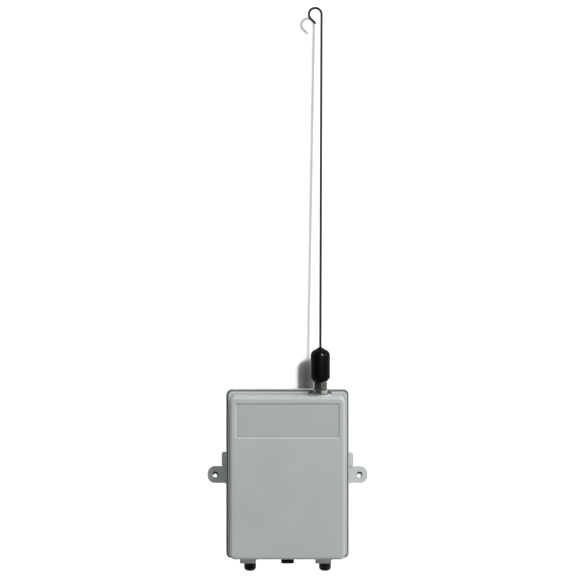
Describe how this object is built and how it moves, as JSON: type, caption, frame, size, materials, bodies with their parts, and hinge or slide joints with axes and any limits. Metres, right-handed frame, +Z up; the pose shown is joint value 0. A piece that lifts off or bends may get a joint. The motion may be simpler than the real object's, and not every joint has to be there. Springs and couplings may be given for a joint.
{
  "type": "gate opener receiver",
  "caption": "Wall-mounted radio receiver box for a gate opener: drafted plastic case with a lift-off cover, a whip antenna on top and a coded circuit board inside.",
  "frame": {"origin": "on the wall, at the middle of the case's back face", "axes": "+Z up along the antenna, +Y into the wall, +X to the right seen from the front"},
  "size_m": [0.1338, 0.044, 0.468],
  "materials": {
    "case_plastic": "fine moulded texture",
    "seal_rubber": "matt",
    "grommet_rubber": "matt",
    "label_film": "satin film, bare",
    "knob_plastic": "satin black",
    "antenna_plastic": "satin black",
    "plated_steel": "bright zinc plate",
    "nickel_plate": "bright nickel",
    "whip_wire": "drawn stainless wire",
    "brass": "plain",
    "insulator_white": "waxy",
    "board_laminate": "solder mask",
    "lead_jacket": "matt",
    "switch_red": "moulded",
    "lever_white": "moulded",
    "terminal_green": "moulded",
    "relay_blue": "moulded",
    "chip_black": "moulded",
    "capacitor_sleeve": "shrink sleeve",
    "can_metal": "tinned",
    "former_plastic": "moulded",
    "ferrite": "fired",
    "resistor_tan": "lacquer",
    "disc_orange": "dipped",
    "header_black": "moulded"
  },
  "bodies": {
    "root": {"rear_housing": "case_plastic", "cover_gasket": "seal_rubber", "jack_washer": "seal_rubber", "wire_grommet": "grommet_rubber", "board_screws": "plated_steel", "terminal_cages": "plated_steel", "antenna_jack": "nickel_plate", "jack_locknut": "nickel_plate", "cover_inserts": "brass", "jack_contact": "brass", "jack_insulator": "insulator_white", "circuit_board": "board_laminate", "antenna_lead": "lead_jacket", "code_switch_body": "switch_red", "terminal_block": "terminal_green", "relay": "relay_blue", "decoder_chip": "chip_black", "amplifier_chip": "chip_black", "transistors": "chip_black", "diodes": "chip_black", "voltage_regulator": "chip_black", "filter_capacitors": "capacitor_sleeve", "coil_can": "can_metal", "resonator": "can_metal", "coil_former": "former_plastic", "resistors": "resistor_tan", "disc_capacitors": "disc_orange", "jumper_header": "header_black"},
    "cover": {"front_cover": "case_plastic", "label_plate": "label_film"},
    "thumbscrew_left": {"knob_left": "knob_plastic", "shank_left": "plated_steel"},
    "thumbscrew_right": {"knob_right": "knob_plastic", "shank_right": "plated_steel"},
    "antenna": {"antenna_base": "antenna_plastic", "antenna_whip": "whip_wire", "antenna_sleeve": "nickel_plate", "antenna_insulator": "insulator_white", "antenna_pin": "brass"},
    "coupling_nut": {"coupling_nut": "nickel_plate"},
    "jumper_plug": {"jumper_plug": "header_black"},
    "tuning_slug": {"tuning_slug": "ferrite"},
    "code_lever_1": {"code_lever_1": "lever_white"},
    "code_lever_2": {"code_lever_2": "lever_white"},
    "code_lever_3": {"code_lever_3": "lever_white"},
    "code_lever_4": {"code_lever_4": "lever_white"},
    "code_lever_5": {"code_lever_5": "lever_white"},
    "code_lever_6": {"code_lever_6": "lever_white"},
    "code_lever_7": {"code_lever_7": "lever_white"},
    "code_lever_8": {"code_lever_8": "lever_white"},
    "code_lever_9": {"code_lever_9": "lever_white"},
    "code_lever_10": {"code_lever_10": "lever_white"},
    "terminal_screw_1": {"terminal_screw_1": "plated_steel"},
    "terminal_screw_2": {"terminal_screw_2": "plated_steel"},
    "terminal_screw_3": {"terminal_screw_3": "plated_steel"},
    "terminal_screw_4": {"terminal_screw_4": "plated_steel"},
    "terminal_screw_5": {"terminal_screw_5": "plated_steel"}
  },
  "joints": [
    {"name": "cover_pull", "type": "slide", "parent": "root", "child": "cover", "axis": [0, -1, 0], "range_m": [0, 0.06]},
    {"name": "thumbscrew_left_turn", "type": "hinge", "parent": "root", "child": "thumbscrew_left", "pos_m": [-0.0312, -0.008, -0.0765], "axis": [0, 0, 1], "continuous": true},
    {"name": "thumbscrew_right_turn", "type": "hinge", "parent": "root", "child": "thumbscrew_right", "pos_m": [0.0312, -0.008, -0.0765], "axis": [0, 0, 1], "continuous": true},
    {"name": "antenna_turn", "type": "hinge", "parent": "root", "child": "antenna", "pos_m": [0.0269, -0.025, 0.09], "axis": [0, 0, 1], "continuous": true},
    {"name": "coupling_nut_turn", "type": "hinge", "parent": "root", "child": "coupling_nut", "pos_m": [0.0269, -0.025, 0.0734], "axis": [0, 0, 1], "continuous": true},
    {"name": "jumper_pull", "type": "slide", "parent": "root", "child": "jumper_plug", "axis": [0, -1, 0], "range_m": [0, 0.007]},
    {"name": "slug_turn", "type": "hinge", "parent": "root", "child": "tuning_slug", "pos_m": [0.028, -0.0175, 0.016], "axis": [0, -1, 0], "continuous": true},
    {"name": "code_lever_1_slide", "type": "slide", "parent": "root", "child": "code_lever_1", "axis": [0, 0, 1], "range_m": [0, 0.0016]},
    {"name": "code_lever_2_slide", "type": "slide", "parent": "root", "child": "code_lever_2", "axis": [0, 0, 1], "range_m": [0, 0.0016]},
    {"name": "code_lever_3_slide", "type": "slide", "parent": "root", "child": "code_lever_3", "axis": [0, 0, 1], "range_m": [0, 0.0016]},
    {"name": "code_lever_4_slide", "type": "slide", "parent": "root", "child": "code_lever_4", "axis": [0, 0, 1], "range_m": [0, 0.0016]},
    {"name": "code_lever_5_slide", "type": "slide", "parent": "root", "child": "code_lever_5", "axis": [0, 0, 1], "range_m": [0, 0.0016]},
    {"name": "code_lever_6_slide", "type": "slide", "parent": "root", "child": "code_lever_6", "axis": [0, 0, 1], "range_m": [0, 0.0016]},
    {"name": "code_lever_7_slide", "type": "slide", "parent": "root", "child": "code_lever_7", "axis": [0, 0, 1], "range_m": [0, 0.0016]},
    {"name": "code_lever_8_slide", "type": "slide", "parent": "root", "child": "code_lever_8", "axis": [0, 0, 1], "range_m": [0, 0.0016]},
    {"name": "code_lever_9_slide", "type": "slide", "parent": "root", "child": "code_lever_9", "axis": [0, 0, 1], "range_m": [0, 0.0016]},
    {"name": "code_lever_10_slide", "type": "slide", "parent": "root", "child": "code_lever_10", "axis": [0, 0, 1], "range_m": [0, 0.0016]},
    {"name": "terminal_screw_1_turn", "type": "hinge", "parent": "root", "child": "terminal_screw_1", "pos_m": [-0.01016, -0.021, -0.0508], "axis": [0, -1, 0], "continuous": true},
    {"name": "terminal_screw_2_turn", "type": "hinge", "parent": "root", "child": "terminal_screw_2", "pos_m": [-0.00508, -0.021, -0.0508], "axis": [0, -1, 0], "continuous": true},
    {"name": "terminal_screw_3_turn", "type": "hinge", "parent": "root", "child": "terminal_screw_3", "pos_m": [0, -0.021, -0.0508], "axis": [0, -1, 0], "continuous": true},
    {"name": "terminal_screw_4_turn", "type": "hinge", "parent": "root", "child": "terminal_screw_4", "pos_m": [0.00508, -0.021, -0.0508], "axis": [0, -1, 0], "continuous": true},
    {"name": "terminal_screw_5_turn", "type": "hinge", "parent": "root", "child": "terminal_screw_5", "pos_m": [0.01016, -0.021, -0.0508], "axis": [0, -1, 0], "continuous": true}
  ]
}
